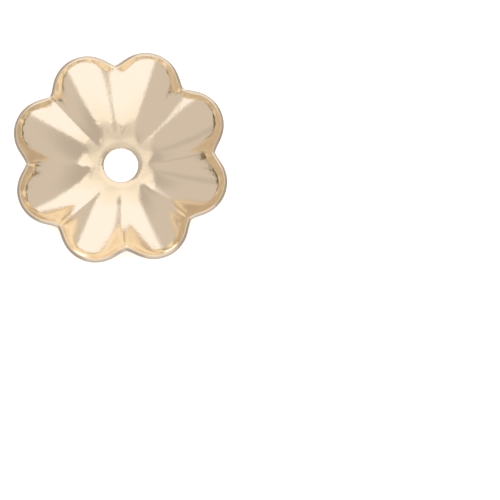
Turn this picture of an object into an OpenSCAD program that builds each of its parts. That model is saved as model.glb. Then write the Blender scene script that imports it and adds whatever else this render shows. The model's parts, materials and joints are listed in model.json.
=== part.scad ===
// Scalloped bead cap: a shallow eight-petalled cup stamped from one piece of thin sheet,
// with a thread hole in the middle of its flat crown.
// It lies on its crown, hollow side up. The origin is the centre of the crown's underside,
// +Z points out of the hollow, and one petal's tip lies on +X. Lengths are millimetres.

/* [Cap] */
// Width across two opposite petal tips, at the rim
cap_d = 8; // [7.6:0.1:9]
// Height from the crown's underside to the rim
cap_h = 1.65; // [1.5:0.05:1.8]
// Thickness of the sheet
sheet = 0.15; // [0.1:0.01:0.2]
// Number of petals
petals = 8; // [8:1:10]

/* [Flutes] */
// Radius of a flute's round cross-section, on the outside
flute_r = 1.7; // [1.6:0.05:1.85]
// Slope of a flute's floor where it leaves the crown, in degrees
flute_rise = 18; // [15:1:20]

/* [Crown] */
// Width of the flat crown, between the starts of two opposite flutes
crown_d = 2.6; // [2.4:0.1:2.7]
// Diameter of the thread hole
hole_d = 1.25; // [1.1:0.05:1.4]

/* [Hidden] */
$fn = 96;

// A flute's floor is an arc from the crown's edge up to the petal tip, so its chord
// has the mean of the slopes at its two ends.
arc_run = (cap_d - crown_d) / 2;
chord_slope = atan(cap_h / arc_run);
rim_slope = 2 * chord_slope - flute_rise;
floor_r = norm([arc_run, cap_h]) / (2 * sin((rim_slope - flute_rise) / 2));

// Centre of that arc, in the upright plane through the petal
arc_x = crown_d / 2 - floor_r * sin(flute_rise);
arc_z = floor_r * cos(flute_rise);

// The core fills the middle, where the flutes meet, and is narrower than the hole
core_r = 0.4 * hole_d;

// The sweep starts just past the axis, inside the core, and ends past the rim plane,
// in degrees of the arc
sweep_start = asin((0.1 * core_r - arc_x) / (floor_r - flute_r));
sweep_end = rim_slope + 14;

// Spare length of a cutting shape past the faces that it cuts
spare = 0.5;

// One flute: a disc of the given radius swept up the arc of the floor, along +X
module flute(r) {
    translate([arc_x, 0, arc_z])
        rotate([90, 0, 0])
            rotate([0, 0, sweep_start - 90])
                rotate_extrude(angle = sweep_end - sweep_start)
                    translate([floor_r - flute_r, 0])
                        circle(r = r);
}

// The whole fluted form between two levels, with flutes of the given radius
module fluted_form(r, low, high) {
    intersection() {
        union() {
            for (k = [0 : petals - 1])
                rotate([0, 0, k * 360 / petals])
                    flute(r);
            translate([0, 0, low - spare])
                cylinder(r = core_r, h = high - low + 2 * spare);
        }
        translate([-cap_d, -cap_d, low])
            cube([2 * cap_d, 2 * cap_d, high - low]);
    }
}

module petal_cap() {
    color([0.90, 0.80, 0.62])
        difference() {
            fluted_form(flute_r, 0, cap_h);
            fluted_form(flute_r - sheet, sheet, cap_h + spare);
            translate([0, 0, -spare])
                cylinder(d = hole_d, h = sheet + 2 * spare);
        }
}

petal_cap();
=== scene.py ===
# Scalloped bead cap: its thin fluted sheet, polished gold finish, studio and camera, round the
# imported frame. Lengths are metres and angles radians, in the frame's own axes.

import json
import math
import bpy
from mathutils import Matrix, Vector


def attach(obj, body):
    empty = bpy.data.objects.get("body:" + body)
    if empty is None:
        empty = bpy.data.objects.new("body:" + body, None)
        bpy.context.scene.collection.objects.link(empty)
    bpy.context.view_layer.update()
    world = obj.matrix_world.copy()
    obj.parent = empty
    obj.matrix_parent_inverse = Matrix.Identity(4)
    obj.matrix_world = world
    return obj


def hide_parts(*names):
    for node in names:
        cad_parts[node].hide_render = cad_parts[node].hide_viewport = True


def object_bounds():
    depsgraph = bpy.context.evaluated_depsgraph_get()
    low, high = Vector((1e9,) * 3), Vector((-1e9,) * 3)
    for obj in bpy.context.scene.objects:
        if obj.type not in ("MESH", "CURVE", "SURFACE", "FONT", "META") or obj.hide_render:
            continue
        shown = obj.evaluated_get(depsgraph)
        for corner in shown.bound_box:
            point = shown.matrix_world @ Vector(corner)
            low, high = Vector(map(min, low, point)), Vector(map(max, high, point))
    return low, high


bl_info = {
    "name": "Scalloped bead cap",
    "version": (1, 0, 0),
    "blender": (4, 5, 0),
    "location": "3D View > Sidebar > Bead Cap",
    "description": "Builds a shallow petalled bead cap of thin polished sheet, with its studio",
    "category": "Add Mesh",
}

from types import SimpleNamespace

import bpy
import numpy as np
from bpy.props import FloatProperty, FloatVectorProperty, IntProperty, PointerProperty
from mathutils import Matrix, Vector

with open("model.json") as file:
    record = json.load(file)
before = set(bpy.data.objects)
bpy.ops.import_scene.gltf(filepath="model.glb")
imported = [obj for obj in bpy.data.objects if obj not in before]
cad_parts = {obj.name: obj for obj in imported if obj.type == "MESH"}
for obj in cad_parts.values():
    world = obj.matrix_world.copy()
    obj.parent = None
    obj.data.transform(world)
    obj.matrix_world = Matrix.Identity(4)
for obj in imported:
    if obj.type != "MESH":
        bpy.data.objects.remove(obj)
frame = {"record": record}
CAD_LOW, CAD_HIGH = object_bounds()

MM = 0.001
CAP_NODE = "petal_cap"
GOLD_SLOT = "polished_gold"
MOUNTS = {mount["name"]: mount for mount in frame["record"]["mounts"]}
HOLE_RADIUS = MOUNTS["thread_hole"]["dims"]["r_mm"] * MM
SHEET = MOUNTS["thread_hole"]["dims"]["length_mm"] * MM

# The photograph's frame: its side and scale in pixels, and where the centre of the cap's rim is
# in it, from the top left corner
PHOTO_SIDE = 500
PIXELS_PER_MM = 27.73
RIM_CENTRE_PX = (120.5, 157.4)

# Searches: how often one halves its range, and the least turn of a flute's floor that is tried
HALVINGS = 40
LEAST_TURN = math.radians(1)

# Tables: the slopes of a flute's floor, up to the steepest, and the angles of the rim from a
# petal's middle to a ridge
FLOOR_SLOPES = 900
STEEPEST = math.radians(89)
RIM_ANGLES = 800

# The ridges' reach of rounding at the axis, as a share of that at the rim
AXIS_SOFTNESS = 0.11

# How much of its slope the strip along the rim loses at the ridges
ROLL_LOSS = 0.5

# How much of the rim's rounding stands above the upper corner of the cut edge
ROUND_ABOVE = 0.6

# How much the hole's wall takes the cut edge's colour, and the power by which the lip comes to
# it; on the lip this darkening is painted shade
HOLE_CUT_AND_SHADE = 0.6
LIP_PAINTED_SHADE_POWER = 8

# How far the haze varies the roughness up and down, as a share of it
HAZE_SPREAD = 0.2

# Colour sockets of a mix node: its two inputs and its result
MIX_FIRST, MIX_SECOND, MIX_RESULT = 6, 7, 2

# Fades of the room's light, as (start, end) or (start, end, value at the start, value at the end).
# Each runs over the part of the direction's unit vector that room_light gives with it.
BEHIND_START = (0, 0.1)
BEHIND_TOP = (1, 0.93)
OVERHEAD_AWAY = (0, 0.34, 0.45, 1)
OVERHEAD_ACROSS = (0.32, 0.12)
OVERHEAD_HEIGHT = (0.78, 0.88)
WALL_TOP_HEIGHT = (0.55, 0.98)
DARKER_HEIGHT = (0.4, 0.85)
UNLIT_START = (0.42, 0.02)

# The faint post: half its width, and how far it goes to the colour overhead
POST_HALF = math.radians(3)
POST_SHADE = 0.6

# The dark gap along the floor: the power by which it rises to the sides, the softness of its top,
# and the fade from its noise to a factor of its height
GAP_POWER = 4
GAP_SOFTNESS = 0.02
GAP_UNEVENNESS = (0.35, 0.65, 0.65, 1.35)

# The camera body: how far from the camera's way its shade starts and is full, and the light left
BODY_START = math.radians(5)
BODY_FULL = math.radians(3)
BODY_LIGHT = 0.92

# The floor and the square light over it, which the metal doesn't mirror
FLOOR_RADIUS = 0.6
FLOOR_SIDES = 96
FILL_SIDE = 0.6
FILL_WATTS = 4.8
FILL_HEIGHT = 0.5


class BeadCapSize(bpy.types.PropertyGroup):
    """Sizes of the stamped sheet"""

    width: FloatProperty(
        name="Width",
        description="Across two opposite petal tips",
        default=CAD_HIGH.x - CAD_LOW.x,
        unit="LENGTH",
        precision=5,
    )
    height: FloatProperty(
        name="Height",
        description="From the crown's underside to the top of the rim",
        default=CAD_HIGH.z - CAD_LOW.z,
        unit="LENGTH",
        precision=5,
    )
    sheet: FloatProperty(
        name="Sheet",
        description="Thickness of the sheet",
        default=SHEET,
        unit="LENGTH",
        precision=5,
    )
    petals: IntProperty(
        name="Petals",
        description="Number of petals round the cap",
        default=8,
        min=6,
        max=12,
    )
    flute_radius: FloatProperty(
        name="Flute radius",
        description="Radius of a flute's round cross-section, on the outside",
        default=1.75 * MM,
        unit="LENGTH",
        precision=5,
    )
    lobe_radius: FloatProperty(
        name="Lobe radius",
        description="Radius of a petal's round end, seen from above",
        default=1.275 * MM,
        unit="LENGTH",
        precision=5,
    )
    flute_rise: FloatProperty(
        name="Flute rise",
        description="Slope of a flute's floor where it leaves the crown",
        default=math.radians(17),
        subtype="ANGLE",
    )
    flute_straightening: FloatProperty(
        name="Flute straightening",
        description="How much straighter a flute's floor is at its outer end than at the crown",
        default=2.5,
        min=0,
    )
    flute_fade: FloatProperty(
        name="Flute fade",
        description="Half the turn over which a flute's floor runs into the petal's round end",
        default=math.radians(4),
        subtype="ANGLE",
    )
    crown_width: FloatProperty(
        name="Crown width",
        description="Across the crown, between the starts of two opposite flutes",
        default=2.16 * MM,
        unit="LENGTH",
        precision=5,
    )
    hole_width: FloatProperty(
        name="Hole width",
        description="Diameter of the thread hole",
        default=2 * HOLE_RADIUS,
        unit="LENGTH",
        precision=5,
    )
    ridge_softness: FloatProperty(
        name="Ridge softness",
        description="Reach of a ridge's rounding to each side at the rim, less near the axis",
        default=0.62 * MM,
        unit="LENGTH",
        precision=6,
    )
    dish_slope: FloatProperty(
        name="Dish slope",
        description="Slope of the crown's dish where the crown's edge begins",
        default=math.radians(4),
        subtype="ANGLE",
    )
    dish_reach: FloatProperty(
        name="Dish reach",
        description="How far in from the crown's edge the dish reaches",
        default=0.35 * MM,
        unit="LENGTH",
        precision=6,
    )
    ring_width: FloatProperty(
        name="Ring width",
        description="Across the level ring round the hole",
        default=1.6 * MM,
        unit="LENGTH",
        precision=6,
    )
    ring_fade: FloatProperty(
        name="Ring fade",
        description="Width of the strip in which the ridges rise out of the ring",
        default=0.6 * MM,
        unit="LENGTH",
        precision=6,
    )
    notch_drop: FloatProperty(
        name="Notch drop",
        description="How much lower the rim is at its notches than at the petal tips",
        default=0.07 * MM,
        unit="LENGTH",
        precision=6,
    )
    roll_width: FloatProperty(
        name="Roll width",
        description="Width of the strip along the rim in which the sheet turns up further",
        default=0.3 * MM,
        unit="LENGTH",
        precision=6,
    )
    roll_slope: FloatProperty(
        name="Roll slope",
        description="Climb over run that the strip adds at the petal tips, less at the notches",
        default=0.43,
        min=0,
    )
    rim_round: FloatProperty(
        name="Rim rounding",
        description="How far the middle of the rim's cut edge stands out from its corners",
        default=0.035 * MM,
        unit="LENGTH",
        precision=6,
    )
    lip_width: FloatProperty(
        name="Lip width",
        description="Width of the lip that falls toward the hole, seen from above",
        default=0.22 * MM,
        unit="LENGTH",
        precision=6,
    )
    lip_drop: FloatProperty(
        name="Lip drop",
        description="How far the lip falls, as a share of half the sheet",
        default=0.5,
        min=0,
        max=1,
    )


class BeadCapFinish(bpy.types.PropertyGroup):
    """Colours and gloss of the metal"""

    gold: FloatVectorProperty(
        name="Gold",
        description="Colour of the polished gold layer",
        default=(0.95, 0.83, 0.655),
        subtype="COLOR",
        min=0,
        max=1,
    )
    roughness: FloatProperty(
        name="Roughness",
        description="Roughness of the polished faces",
        default=0.11,
        min=0,
        max=1,
        subtype="FACTOR",
    )
    # The cut edge's colour is partly the cut metal's own brown and partly painted shade: a painted
    # dark reflection along the rim's outer corner, and painted shade on the lip round the hole.
    cut: FloatVectorProperty(
        name="Cut edge",
        description="Colour of the cut edge along its outer corner, where the polish has worn off",
        default=(0.26, 0.20, 0.17),
        subtype="COLOR",
        min=0,
        max=1,
    )
    edge_roughness: FloatProperty(
        name="Edge roughness",
        description="Roughness of the cut edge",
        default=0.38,
        min=0,
        max=1,
        subtype="FACTOR",
    )
    ripple_depth: FloatProperty(
        name="Ripple depth",
        description="Depth of the fine ripple that polishing leaves",
        default=0.004 * MM,
        unit="LENGTH",
        precision=7,
    )


class BeadCapStudio(bpy.types.PropertyGroup):
    """Camera angle and light"""

    azimuth: FloatProperty(
        name="Azimuth",
        description="Direction that the camera looks from, round the cap",
        default=math.radians(19.1),
        subtype="ANGLE",
    )
    elevation: FloatProperty(
        name="Elevation",
        description="Height of the camera above the horizon",
        default=math.radians(79.5),
        subtype="ANGLE",
    )
    distance: FloatProperty(
        name="Distance",
        description="Distance from the camera to the cap",
        default=0.43,
        unit="LENGTH",
    )
    wall: FloatVectorProperty(
        name="Bright wall",
        description="Colour of the bright walls in front and behind",
        default=(1.10, 1.075, 1.10),
        subtype="COLOR",
        min=0,
        max=2,
    )
    wall_top: FloatVectorProperty(
        name="Bright wall's top",
        description="Colour of the bright wall's part that leans in overhead",
        default=(1.04, 0.98, 0.885),
        subtype="COLOR",
        min=0,
        max=2,
    )
    behind: FloatProperty(
        name="Behind",
        description="Direction that the bright wall behind stands in, from the picture's right",
        default=math.radians(95),
        subtype="ANGLE",
    )
    behind_lean: FloatProperty(
        name="Behind, lean",
        description="How far that wall leans in over the cap",
        default=math.radians(23),
        subtype="ANGLE",
    )
    behind_left: FloatProperty(
        name="Behind, left",
        description="How far that wall reaches to the left, as a share of its distance",
        default=0.21,
    )
    behind_right: FloatProperty(
        name="Behind, right",
        description="How far that wall reaches to the right, as a share of its distance",
        default=0.85,
    )
    front: FloatProperty(
        name="Front",
        description="Direction of the bright wall in front, from the picture's right",
        default=math.radians(284.2),
        subtype="ANGLE",
    )
    front_half: FloatProperty(
        name="Front, half width",
        description="How far that wall reaches to each side",
        default=math.radians(37.8),
        subtype="ANGLE",
    )
    wall_height: FloatProperty(
        name="Wall height",
        description="How high above the horizon the wall in front reaches",
        default=math.radians(65),
        subtype="ANGLE",
    )
    softness: FloatProperty(
        name="Softness",
        description="How far the light fades out on each side of a wall's edge",
        default=math.radians(5),
        subtype="ANGLE",
    )
    skirting: FloatVectorProperty(
        name="Skirting",
        description="Colour of the dark gap between the floor and the walls",
        default=(0.17, 0.13, 0.07),
        subtype="COLOR",
        min=0,
        max=1,
    )
    skirting_height: FloatProperty(
        name="Skirting height",
        description="How high above the horizon the dark gap reaches under the bright walls",
        default=math.radians(0.5),
        subtype="ANGLE",
    )
    side_height: FloatProperty(
        name="Side height",
        description="How high above the horizon the dark gap reaches at the sides",
        default=math.radians(9.5),
        subtype="ANGLE",
    )
    room: FloatVectorProperty(
        name="Room",
        description="Colour of the dim room beside the bright walls",
        default=(0.67, 0.615, 0.575),
        subtype="COLOR",
        min=0,
        max=1,
    )
    ceiling: FloatVectorProperty(
        name="Ceiling",
        description="Colour of the room overhead",
        default=(0.53, 0.485, 0.455),
        subtype="COLOR",
        min=0,
        max=1,
    )
    post: FloatProperty(
        name="Post",
        description="Direction of a faint dark post in the room, from the picture's right",
        default=math.radians(168),
        subtype="ANGLE",
    )
    lit_side: FloatProperty(
        name="Lit side",
        description="Direction in which the room overhead isn't darker, from the picture's right",
        default=math.radians(222),
        subtype="ANGLE",
    )


class BeadCapSettings(bpy.types.PropertyGroup):
    """All settings of the bead cap"""

    size: PointerProperty(type=BeadCapSize, name="Size", description="Sizes of the sheet")
    finish: PointerProperty(type=BeadCapFinish, name="Finish", description="Colours and gloss")
    studio: PointerProperty(type=BeadCapStudio, name="Studio", description="Camera and light")


# Surface of the sheet


def floor_path(size, ball, lobe_centre, height):
    """Path of the ball's centre by its slope, as (slopes, out, up), in one petal's upright plane.

    The ball rolls level out of the middle, then up the crown's dish, which is an arc. Over the
    crown's edge it turns on the spot, from the dish's slope to the flute's rise. The flute's
    radius of curvature grows as 1 + straightening·t³ while the slope goes from the rise, t = 0, to
    the end slope, t = 1. There the path stops over the lobe's centre and the ball turns on the
    spot again. Halving finds the end slope for which the path climbs to what a rim at this height
    needs."""
    rim_slope = math.asin((size.width / 2 - lobe_centre) / ball)
    slopes = np.linspace(0, STEEPEST, FLOOR_SLOPES)
    step = slopes[1]
    along, upward = np.cos(slopes) * step, np.sin(slopes) * step
    dish = np.where(slopes < size.dish_slope, size.dish_reach / math.sin(size.dish_slope), 0)
    dish_out, dish_up = np.cumsum(dish * along), np.cumsum(dish * upward)
    run = lobe_centre - size.crown_width / 2
    climb = height - ball + (ball - size.sheet) * math.cos(rim_slope) - dish_up[-1]

    def share_after(slope):
        """Smooth step from 0 to 1 as the path's slope passes this one."""
        return 0.5 + 0.5 * np.sin(math.pi / 2 * np.clip((slopes - slope) / size.flute_fade, -1, 1))

    low, high = size.flute_rise + LEAST_TURN, rim_slope
    for _ in range(HALVINGS):
        end_slope = (low + high) / 2
        turned = np.clip((slopes - size.flute_rise) / (end_slope - size.flute_rise), 0, 1)
        radius = 1 + size.flute_straightening * turned**3
        radius *= share_after(size.flute_rise) * (1 - share_after(end_slope))
        out, up = np.cumsum(radius * along), np.cumsum(radius * upward)
        if up[-1] * run < out[-1] * climb:
            low = end_slope
        else:
            high = end_slope
    scale = run / out[-1]
    out = size.crown_width / 2 - dish_out[-1] + dish_out + scale * out
    up = ball + dish_up + scale * up
    return slopes, out, up


def sheet_form(size):
    """Measures of the sheet's middle surface.

    The flutes end lower than the cap's height, by what the strip along the rim adds. Their middle
    surface ends lower again, by what the steep cut edge stands above it."""
    half = size.sheet / 2
    petal_half = math.pi / size.petals
    lobe_centre = size.width / 2 - size.lobe_radius
    rim_slope = math.asin(size.lobe_radius / size.flute_radius)
    roll_height = size.roll_slope * size.roll_width / 2
    height = size.height - roll_height
    slopes, out, up = floor_path(size, size.flute_radius, lobe_centre, height)
    edge_slope = math.atan(math.tan(rim_slope) + size.roll_slope)
    above_middle = half * math.cos(edge_slope)
    above_middle += ROUND_ABOVE * size.rim_round * math.sin(edge_slope)
    form = SimpleNamespace(
        half=half,
        ball=size.flute_radius - half,
        slopes=slopes,
        path_out=out,
        path_up=up,
        rim_height=height - above_middle,
        notch_drop=size.notch_drop,
        reach=size.width / 2,
        petal_half=petal_half,
        ridge_softness=size.ridge_softness,
        ring=size.ring_width / 2,
        ring_fade=size.ring_fade,
        roll_width=size.roll_width,
        roll_slope=size.roll_slope,
        edge_angles=np.linspace(0, petal_half, RIM_ANGLES),
    )
    form.edge = rim_radius(form.edge_angles, form)
    return form


def flute_height(along, across, form):
    """Height of one flute, the floor that a ball leaves when it rolls along the path.

    At a distance v across, the ball's section has the radius q = sqrt(ball² - v²), and the floor
    is the path moved by q along its normal: out = path_out + q·sin(slope) and
    up = path_up - q·cos(slope). Halving finds the slope at which out is the distance along."""
    section = np.sqrt(np.maximum(form.ball**2 - across**2, 0))
    low = np.zeros_like(along)
    high = np.full_like(along, form.slopes[-1])
    for _ in range(HALVINGS):
        slope = (low + high) / 2
        short = np.interp(slope, form.slopes, form.path_out) + section * np.sin(slope) < along
        low = np.where(short, slope, low)
        high = np.where(short, high, slope)
    return np.interp(low, form.slopes, form.path_up) - section * np.cos(low)


def angle_from_petal(around, form):
    """Angle to the nearest petal's middle, from 0 there to petal_half at a ridge."""
    return np.abs((around + form.petal_half) % (2 * form.petal_half) - form.petal_half)


def fluted_height(x, y, form):
    """Height of the flutes and ridges over the points (x, y).

    The angle is folded to the nearest petal. Nearer to the ridge than the rounding's reach w, the
    distance d becomes w·(3/8 + 3/4·(d/w)² - 1/8·(d/w)⁴), which rounds the ridge. The reach grows
    with the square of the radius. Towards the ring round the hole the height falls to the ring's
    level by the smooth step t²·(3 - 2t)."""
    radius = np.hypot(x, y)
    folded = angle_from_petal(np.arctan2(y, x), form)
    growth = AXIS_SOFTNESS + (1 - AXIS_SOFTNESS) * (radius / form.reach) ** 2
    softness = form.ridge_softness * growth
    to_ridge = (form.petal_half - folded) * radius / softness
    rounded = np.where(to_ridge < 1, 0.375 + 0.75 * to_ridge**2 - 0.125 * to_ridge**4, to_ridge)
    turn = form.petal_half - rounded * softness / radius
    flute = flute_height(radius * np.cos(turn), radius * np.sin(turn), form)
    t = np.clip((radius - form.ring) / form.ring_fade, 0, 1)
    return form.half + (flute - form.half) * t**2 * (3 - 2 * t)


def middle_height(x, y, form):
    """Height of the sheet's middle surface over the points (x, y).

    At a distance s into the strip along the rim, the strip adds slope·s²/(2·width). Its slope
    falls toward the ridges as 1 - loss·share⁴, with the share of the way there."""
    folded = angle_from_petal(np.arctan2(y, x), form)
    slope = form.roll_slope * (1 - ROLL_LOSS * (folded / form.petal_half) ** 4)
    edge = np.interp(folded, form.edge_angles, form.edge)
    inside = np.maximum(np.hypot(x, y) - edge + form.roll_width, 0)
    return fluted_height(x, y, form) + slope * inside**2 / (2 * form.roll_width)


def middle_normal(x, y, form, step=0.0005 * MM):
    """Unit normals of the middle surface, upwards, from central differences of its height."""
    slope_x = (middle_height(x + step, y, form) - middle_height(x - step, y, form)) / (2 * step)
    slope_y = (middle_height(x, y + step, form) - middle_height(x, y - step, form)) / (2 * step)
    normal = np.stack([-slope_x, -slope_y, np.ones_like(slope_x)], axis=-1)
    return normal / np.linalg.norm(normal, axis=-1, keepdims=True)


def rim_radius(around, form):
    """Distance from the axis at which the flutes, without the strip's share, reach the rim.

    It is found by halving. The rim's height falls by the notch drop times the fourth power of the
    share of the way from the petal's middle to the ridge."""
    share = angle_from_petal(around, form) / form.petal_half
    rim_height = form.rim_height - form.notch_drop * share**4
    low = np.full_like(around, form.reach / 2)
    high = np.full_like(around, form.reach)
    for _ in range(HALVINGS):
        middle = (low + high) / 2
        height = fluted_height(middle * np.cos(around), middle * np.sin(around), form)
        below = height < rim_height
        low = np.where(below, middle, low)
        high = np.where(below, high, middle)
    return (low + high) / 2


def petal_angles(petals, per_petal, crowding=0.75):
    """Angles round the cap, in each petal from -a to a as a·(v + crowding·sin(πv)/π), which puts
    them closer together at the ridges."""
    v = np.arange(per_petal) / per_petal * 2 - 1
    petal = math.pi / petals * (v + crowding * np.sin(math.pi * v) / math.pi)
    return (2 * math.pi / petals * np.arange(petals)[:, None] + petal).ravel()


def rim_profile(points):
    """Offsets round the rim from the upper face to the lower, as (out, up), up from 1 to -1.

    They lie on |out|³ + |up|³ = 1."""
    turn = np.linspace(math.pi / 2, -math.pi / 2, points + 2)[1:-1]
    out = np.cos(turn) ** (2 / 3)
    up = np.sign(turn) * np.abs(np.sin(turn)) ** (2 / 3)
    return out, up


def hole_profile(points, drop):
    """Offsets round the hole from the upper face to the lower, as (out, up), up from 1 to -1.

    The lip falls by drop·out² and takes half of the points, and then the wall stands straight."""
    lip = np.sin(np.linspace(0, math.pi / 2, points // 2 + 1)[1:])
    wall = np.linspace(1 - drop, -1, points - points // 2 + 1)[1:]
    out = np.concatenate([lip, np.ones_like(wall)])
    up = np.concatenate([1 - drop * lip**2, wall])
    return out, up


def sheet_points(size, per_petal=70, across_face=71, round_edge=9):
    """Points of the closed sheet, as (section, angle) rows, and how much of each takes the cut
    edge's colour, which is partly painted shade.

    The section runs out along the upper face, round the rim, back along the lower face and round
    the hole's wall. Each of these parts has its share of the way from the lip's start to the rim,
    its place up and out, and its cut. A point is the middle surface plus up times half the sheet
    along its normal, plus out, square to the edge and along the sheet."""
    form = sheet_form(size)
    around = petal_angles(size.petals, per_petal)
    rim = rim_radius(around, form)
    lip_start = size.hole_width / 2 + size.lip_width
    across = np.linspace(0, 1, across_face)
    rim_out, rim_up = rim_profile(round_edge)
    lip_out, lip_up = (offset[::-1] for offset in hole_profile(round_edge, size.lip_drop))
    parts = (
        (across, 1, 0, 0),
        # Round the rim the cut colour grows toward the lower corner: the cut metal's own brown
        # plus painted shade, a painted dark reflection along the outer corner.
        (1, rim_up, rim_out * size.rim_round, 0.5 - 0.5 * rim_up),
        (across[::-1], -1, 0, 0),
        # On the lip the cut colour rises toward the hole as painted shade at the hole's edge; the
        # wall itself takes the cut edge's own colour.
        (0, lip_up, -lip_out * size.lip_width, HOLE_CUT_AND_SHADE * lip_out**LIP_PAINTED_SHADE_POWER),
    )
    section = [np.stack(np.broadcast_arrays(*part)) for part in parts]
    share, up, out, cut = np.concatenate(section, axis=1)[..., None]

    radius = lip_start + share * (rim - lip_start)
    x = radius * np.cos(around)
    y = radius * np.sin(around)
    middle = np.stack([x, y, middle_height(x, y, form)], axis=-1)
    normal = middle_normal(x, y, form)
    along_edge = np.roll(middle, -1, axis=1) - np.roll(middle, 1, axis=1)
    outward = np.cross(along_edge, normal)
    outward /= np.linalg.norm(outward, axis=-1, keepdims=True)
    points = middle + (up * form.half)[..., None] * normal + out[..., None] * outward
    points[..., 2] -= points[..., 2].min()
    return points, np.repeat(cut, len(around), axis=1)


def ring_faces(rows, columns):
    """Four-sided faces of a grid that closes on itself both ways, facing outwards."""
    row = np.arange(rows)[:, None]
    column = np.arange(columns)[None, :]
    next_row = (row + 1) % rows
    next_column = (column + 1) % columns
    corners = [
        row * columns + column,
        next_row * columns + column,
        next_row * columns + next_column,
        row * columns + next_column,
    ]
    return np.stack(corners, axis=-1).reshape(-1, 4)


def mesh_object(name, points, faces, material):
    """A smooth mesh object at the origin."""
    mesh = bpy.data.meshes.new(name)
    mesh.from_pydata(points.reshape(-1, 3), [], faces)
    mesh.shade_smooth()
    mesh.materials.append(material)
    item = bpy.data.objects.new(name, mesh)
    bpy.context.scene.collection.objects.link(item)
    return item


# Materials and light


def add_node(tree, kind, inputs=(), **settings):
    """A new node with its settings, and its inputs set or linked, by name or number."""
    node = tree.nodes.new(kind)
    for name, value in settings.items():
        setattr(node, name, value)
    for name, value in dict(inputs).items():
        if isinstance(value, bpy.types.NodeSocket):
            tree.links.new(value, node.inputs[name])
        else:
            node.inputs[name].default_value = value
    return node


def ramp(tree, value, low, high):
    """A straight change from low to high while the value goes from 0 to 1."""
    return add_node(
        tree, "ShaderNodeMapRange", {"Value": value, "To Min": low, "To Max": high}
    ).outputs["Result"]


def fade(tree, value, start, end, low=0, high=1):
    """A smooth change from low to high while the value goes from start to end."""
    return add_node(
        tree,
        "ShaderNodeMapRange",
        {"Value": value, "From Min": start, "From Max": end, "To Min": low, "To Max": high},
        interpolation_type="SMOOTHSTEP",
    ).outputs["Result"]


def noise(tree, place, scale, detail):
    """Noise from 0 to 1 over a place or direction."""
    return add_node(
        tree, "ShaderNodeTexNoise", {"Vector": place, "Scale": scale, "Detail": detail}
    ).outputs["Fac"]


def combine(tree, operation, *values):
    """The result of a sum, product or the like over the values, taken in turn."""
    result = values[0]
    for value in values[1:]:
        node = add_node(tree, "ShaderNodeMath", {0: result, 1: value}, operation=operation)
        result = node.outputs[0]
    return result


def blend(tree, factor, first, second):
    """A mix of two colours, each a socket or a plain colour."""
    mix = add_node(tree, "ShaderNodeMix", {"Factor": factor}, data_type="RGBA")
    for place, colour in ((MIX_FIRST, first), (MIX_SECOND, second)):
        if isinstance(colour, bpy.types.NodeSocket):
            tree.links.new(colour, mix.inputs[place])
        else:
            mix.inputs[place].default_value = (*colour, 1)
    return mix.outputs[MIX_RESULT]


def new_material(name):
    """An empty node material and its tree."""
    material = bpy.data.materials.new(name)
    material.use_nodes = True
    material.node_tree.nodes.clear()
    return material, material.node_tree


def gold_material(finish):
    """Polished pale gold: a mirror-like metal with a fine ripple and uneven gloss, brownish and
    duller on the cut edge, whose colour is partly painted shade along the rim's outer corner and
    on the lip round the hole."""
    material, tree = new_material(GOLD_SLOT)
    place = add_node(tree, "ShaderNodeTexCoord").outputs["Object"]
    # The attribute marks the cut edge and also carries painted shade: darker toward the rim's
    # outer corner and on the lip round the hole.
    edge = add_node(tree, "ShaderNodeAttribute", attribute_name="cut_edge_and_painted_shade").outputs["Fac"]
    ripple = noise(tree, place, scale=9000, detail=3)
    haze = noise(tree, place, scale=900, detail=4)
    bump = add_node(
        tree,
        "ShaderNodeBump",
        {"Height": ripple, "Strength": 1, "Distance": finish.ripple_depth},
    ).outputs["Normal"]
    low, high = finish.roughness * (1 - HAZE_SPREAD), finish.roughness * (1 + HAZE_SPREAD)
    rough = ramp(tree, edge, ramp(tree, haze, low, high), finish.edge_roughness)
    colour = blend(tree, edge, finish.gold, finish.cut)
    shader = add_node(
        tree,
        "ShaderNodeBsdfPrincipled",
        {"Base Color": colour, "Metallic": 1, "Roughness": rough, "Normal": bump},
    )
    add_node(tree, "ShaderNodeOutputMaterial", {"Surface": shader.outputs["BSDF"]})
    return material


def floor_material():
    """Plain white board."""
    material, tree = new_material("white_board")
    shader = add_node(
        tree,
        "ShaderNodeBsdfPrincipled",
        {"Base Color": (0.9, 0.9, 0.9, 1), "Roughness": 0.7, "Specular IOR Level": 0.2},
    )
    add_node(tree, "ShaderNodeOutputMaterial", {"Surface": shader.outputs["BSDF"]})
    return material


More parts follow.
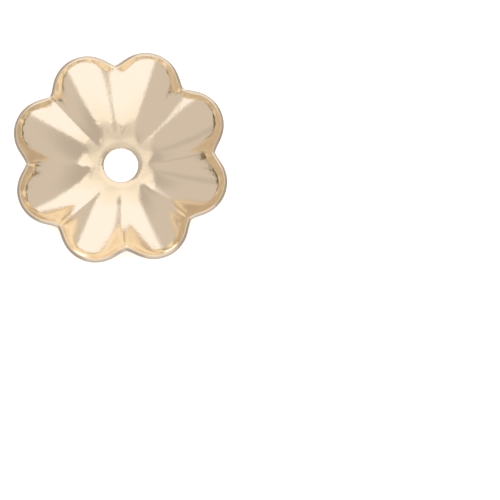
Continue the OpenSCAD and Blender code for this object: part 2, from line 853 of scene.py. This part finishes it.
def room_light(studio, right, camera_way):
    """Light of the room: a dim room with a bright wall behind, which leans in overhead, and one
    in front. The dim room has a faint post and is darker overhead, away from its lit side. A dark
    gap runs along the floor, higher at the sides, and the camera body is a little darker.

    Directions are told by parts of their unit vector: height, away to the wall behind, and
    leftward of that."""
    world = bpy.data.worlds.new("studio_room")
    bpy.context.scene.world = world
    world.use_nodes = True
    tree = world.node_tree
    tree.nodes.clear()
    direction = add_node(tree, "ShaderNodeTexCoord").outputs["Generated"]
    height = add_node(tree, "ShaderNodeSeparateXYZ", {"Vector": direction}).outputs["Z"]
    level = add_node(
        tree, "ShaderNodeVectorMath", {0: direction, 1: (1, 1, 0)}, operation="MULTIPLY"
    ).outputs["Vector"]
    heading = add_node(
        tree, "ShaderNodeVectorMath", {0: level}, operation="NORMALIZE"
    ).outputs["Vector"]
    soft = studio.softness

    def along(vector, axis):
        """The vector's part along an axis."""
        return add_node(
            tree, "ShaderNodeVectorMath", {0: vector, 1: axis}, operation="DOT_PRODUCT"
        ).outputs["Value"]

    def level_way(from_right):
        """Level unit vector at an angle from the picture's right."""
        azimuth = studio.azimuth + from_right
        return (math.cos(azimuth), math.sin(azimuth), 0)

    def wall(from_right, half_angle):
        """An upright wall, from the floor to the zenith."""
        toward = along(heading, level_way(from_right))
        return fade(tree, toward, math.cos(half_angle + soft), math.cos(half_angle - soft))

    way = level_way(studio.behind)
    left = (-way[1], way[0], 0)
    facing = (way[0], way[1], math.tan(studio.behind_lean))
    away = along(direction, way)
    leftward = along(direction, left)
    sideways = combine(tree, "DIVIDE", leftward, along(direction, facing))
    behind = combine(
        tree,
        "MULTIPLY",
        fade(tree, sideways, studio.behind_left + soft, studio.behind_left - soft),
        fade(tree, sideways, -studio.behind_right - soft, -studio.behind_right + soft),
        fade(tree, away, *BEHIND_START),
        fade(tree, height, *BEHIND_TOP),
    )
    overhead = combine(
        tree,
        "MULTIPLY",
        fade(tree, away, *OVERHEAD_AWAY),
        fade(tree, combine(tree, "ABSOLUTE", leftward, 0), *OVERHEAD_ACROSS),
        fade(tree, height, *OVERHEAD_HEIGHT),
    )
    top = math.sin(studio.wall_height)
    below_top = fade(tree, height, top + soft / 2, top - soft / 2)
    front = combine(tree, "MULTIPLY", wall(studio.front, studio.front_half), below_top)
    bright = combine(tree, "MAXIMUM", behind, front, overhead)

    unlit = fade(tree, along(direction, level_way(studio.lit_side)), *UNLIT_START)
    darker = combine(tree, "MULTIPLY", fade(tree, height, *DARKER_HEIGHT), unlit)
    post = combine(tree, "MULTIPLY", wall(studio.post, POST_HALF), POST_SHADE)
    darker = combine(tree, "MAXIMUM", darker, post)
    dim_colour = blend(tree, darker, studio.room, studio.ceiling)
    to_top = fade(tree, height, *WALL_TOP_HEIGHT)
    wall_colour = blend(tree, to_top, studio.wall, studio.wall_top)
    colour = blend(tree, bright, dim_colour, wall_colour)

    side = combine(tree, "POWER", along(direction, right), GAP_POWER)
    gap_top = ramp(tree, side, math.sin(studio.skirting_height), math.sin(studio.side_height))
    uneven = fade(tree, noise(tree, direction, scale=5, detail=3), *GAP_UNEVENNESS)
    gap_top = combine(tree, "MULTIPLY", gap_top, uneven)
    above = fade(tree, height, combine(tree, "SUBTRACT", gap_top, GAP_SOFTNESS), gap_top)
    colour = blend(tree, above, studio.skirting, colour)
    seen = add_node(tree, "ShaderNodeLightPath").outputs["Is Camera Ray"]
    colour = blend(tree, seen, colour, studio.room)
    near = along(direction, camera_way)
    strength = fade(tree, near, math.cos(BODY_START), math.cos(BODY_FULL), 1, BODY_LIGHT)
    shade = add_node(tree, "ShaderNodeBackground", {"Color": colour, "Strength": strength})
    add_node(tree, "ShaderNodeOutputWorld", {"Surface": shade.outputs["Background"]})


# Operators and panel


class BEADCAP_OT_petal_cap(bpy.types.Operator):
    """Build the fluted petal cap over its solid"""

    bl_idname = "beadcap.petal_cap"
    bl_label = "Petal Cap"

    def execute(self, context):
        settings = context.scene.bead_cap
        points, cut = sheet_points(settings.size)
        faces = ring_faces(*points.shape[:2])
        cap = mesh_object("fluted_sheet", points, faces, gold_material(settings.finish))
        # Each point's share of the cut edge's colour, which includes painted shade at the rim's
        # outer corner and on the hole's lip.
        edge = cap.data.attributes.new("cut_edge_and_painted_shade", "FLOAT", "POINT")
        edge.data.foreach_set("value", cut.ravel().astype(np.float32))
        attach(cap, "root")
        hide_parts(CAP_NODE)
        return {"FINISHED"}


class BEADCAP_OT_studio(bpy.types.Operator):
    """Build the floor, the soft light and the camera"""

    bl_idname = "beadcap.studio"
    bl_label = "Studio"

    def execute(self, context):
        studio = context.scene.bead_cap.studio
        azimuth, elevation = studio.azimuth, studio.elevation
        right = Vector((math.cos(azimuth), math.sin(azimuth), 0))
        back = Vector(
            (
                math.sin(azimuth) * math.cos(elevation),
                -math.cos(azimuth) * math.cos(elevation),
                math.sin(elevation),
            )
        )
        up = back.cross(right)
        self.add_floor()
        self.add_floor_light()
        room_light(studio, right, back)
        self.add_camera(studio, right, up, back)
        context.scene.view_settings.view_transform = "Standard"
        return {"FINISHED"}

    def add_floor(self):
        """A round board under the cap."""
        around = np.linspace(0, 2 * math.pi, FLOOR_SIDES, endpoint=False)
        level = np.full(FLOOR_SIDES, CAD_LOW.z)
        rim = [FLOOR_RADIUS * np.cos(around), FLOOR_RADIUS * np.sin(around), level]
        faces = np.arange(FLOOR_SIDES)[None, :]
        floor = mesh_object("floor", np.stack(rim, axis=-1), faces, floor_material())

    def add_floor_light(self):
        """A wide light for the board, which neither the camera nor the metal sees."""
        light = bpy.data.lights.new("floor_fill", "AREA")
        light.shape = "SQUARE"
        light.size = FILL_SIDE
        light.energy = FILL_WATTS
        lamp = bpy.data.objects.new("floor_fill", light)
        lamp.location = (0, 0, FILL_HEIGHT)
        lamp.visible_camera = False
        lamp.visible_glossy = False
        bpy.context.scene.collection.objects.link(lamp)

    def add_camera(self, studio, right, up, back):
        """The photograph's camera, aimed to put the rim's centre where the photograph has it."""
        scale = MM / PIXELS_PER_MM
        lens = bpy.data.cameras.new("photo_camera")
        lens.sensor_width = 36
        lens.lens = lens.sensor_width * studio.distance / (PHOTO_SIDE * scale)
        lens.clip_start = 0.01
        lens.clip_end = 10
        rim_centre = Vector((0, 0, CAD_HIGH.z - SHEET / 2))
        offset_x = (PHOTO_SIDE / 2 - RIM_CENTRE_PX[0]) * scale
        offset_y = (PHOTO_SIDE / 2 - RIM_CENTRE_PX[1]) * scale
        aim = rim_centre + right * offset_x - up * offset_y
        camera = bpy.data.objects.new("photo_camera", lens)
        turn = Matrix((right, up, back)).transposed()
        camera.matrix_world = Matrix.Translation(aim + back * studio.distance) @ turn.to_4x4()
        bpy.context.scene.collection.objects.link(camera)
        bpy.context.scene.camera = camera


class BEADCAP_PT_panel(bpy.types.Panel):
    """Bead cap settings and operators"""

    bl_idname = "BEADCAP_PT_panel"
    bl_label = "Bead Cap"
    bl_space_type = "VIEW_3D"
    bl_region_type = "UI"
    bl_category = "Bead Cap"

    def draw(self, context):
        settings = context.scene.bead_cap
        for group in (settings.size, settings.finish, settings.studio):
            box = self.layout.box()
            for name in group.__annotations__:
                box.prop(group, name)
        self.layout.operator(BEADCAP_OT_petal_cap.bl_idname)
        self.layout.operator(BEADCAP_OT_studio.bl_idname)


CLASSES = (
    BeadCapSize,
    BeadCapFinish,
    BeadCapStudio,
    BeadCapSettings,
    BEADCAP_OT_petal_cap,
    BEADCAP_OT_studio,
    BEADCAP_PT_panel,
)


def register():
    """Make the settings, operators and panel known."""
    for item in CLASSES:
        bpy.utils.register_class(item)
    bpy.types.Scene.bead_cap = PointerProperty(
        type=BeadCapSettings, name="Bead cap", description="Settings of the bead cap"
    )


def unregister():
    """Take them out again."""
    del bpy.types.Scene.bead_cap
    for item in reversed(CLASSES):
        bpy.utils.unregister_class(item)


def main():
    """Build the cap and its studio."""
    register()
    bpy.ops.beadcap.petal_cap()
    bpy.ops.beadcap.studio()


if __name__ == "__main__":
    main()
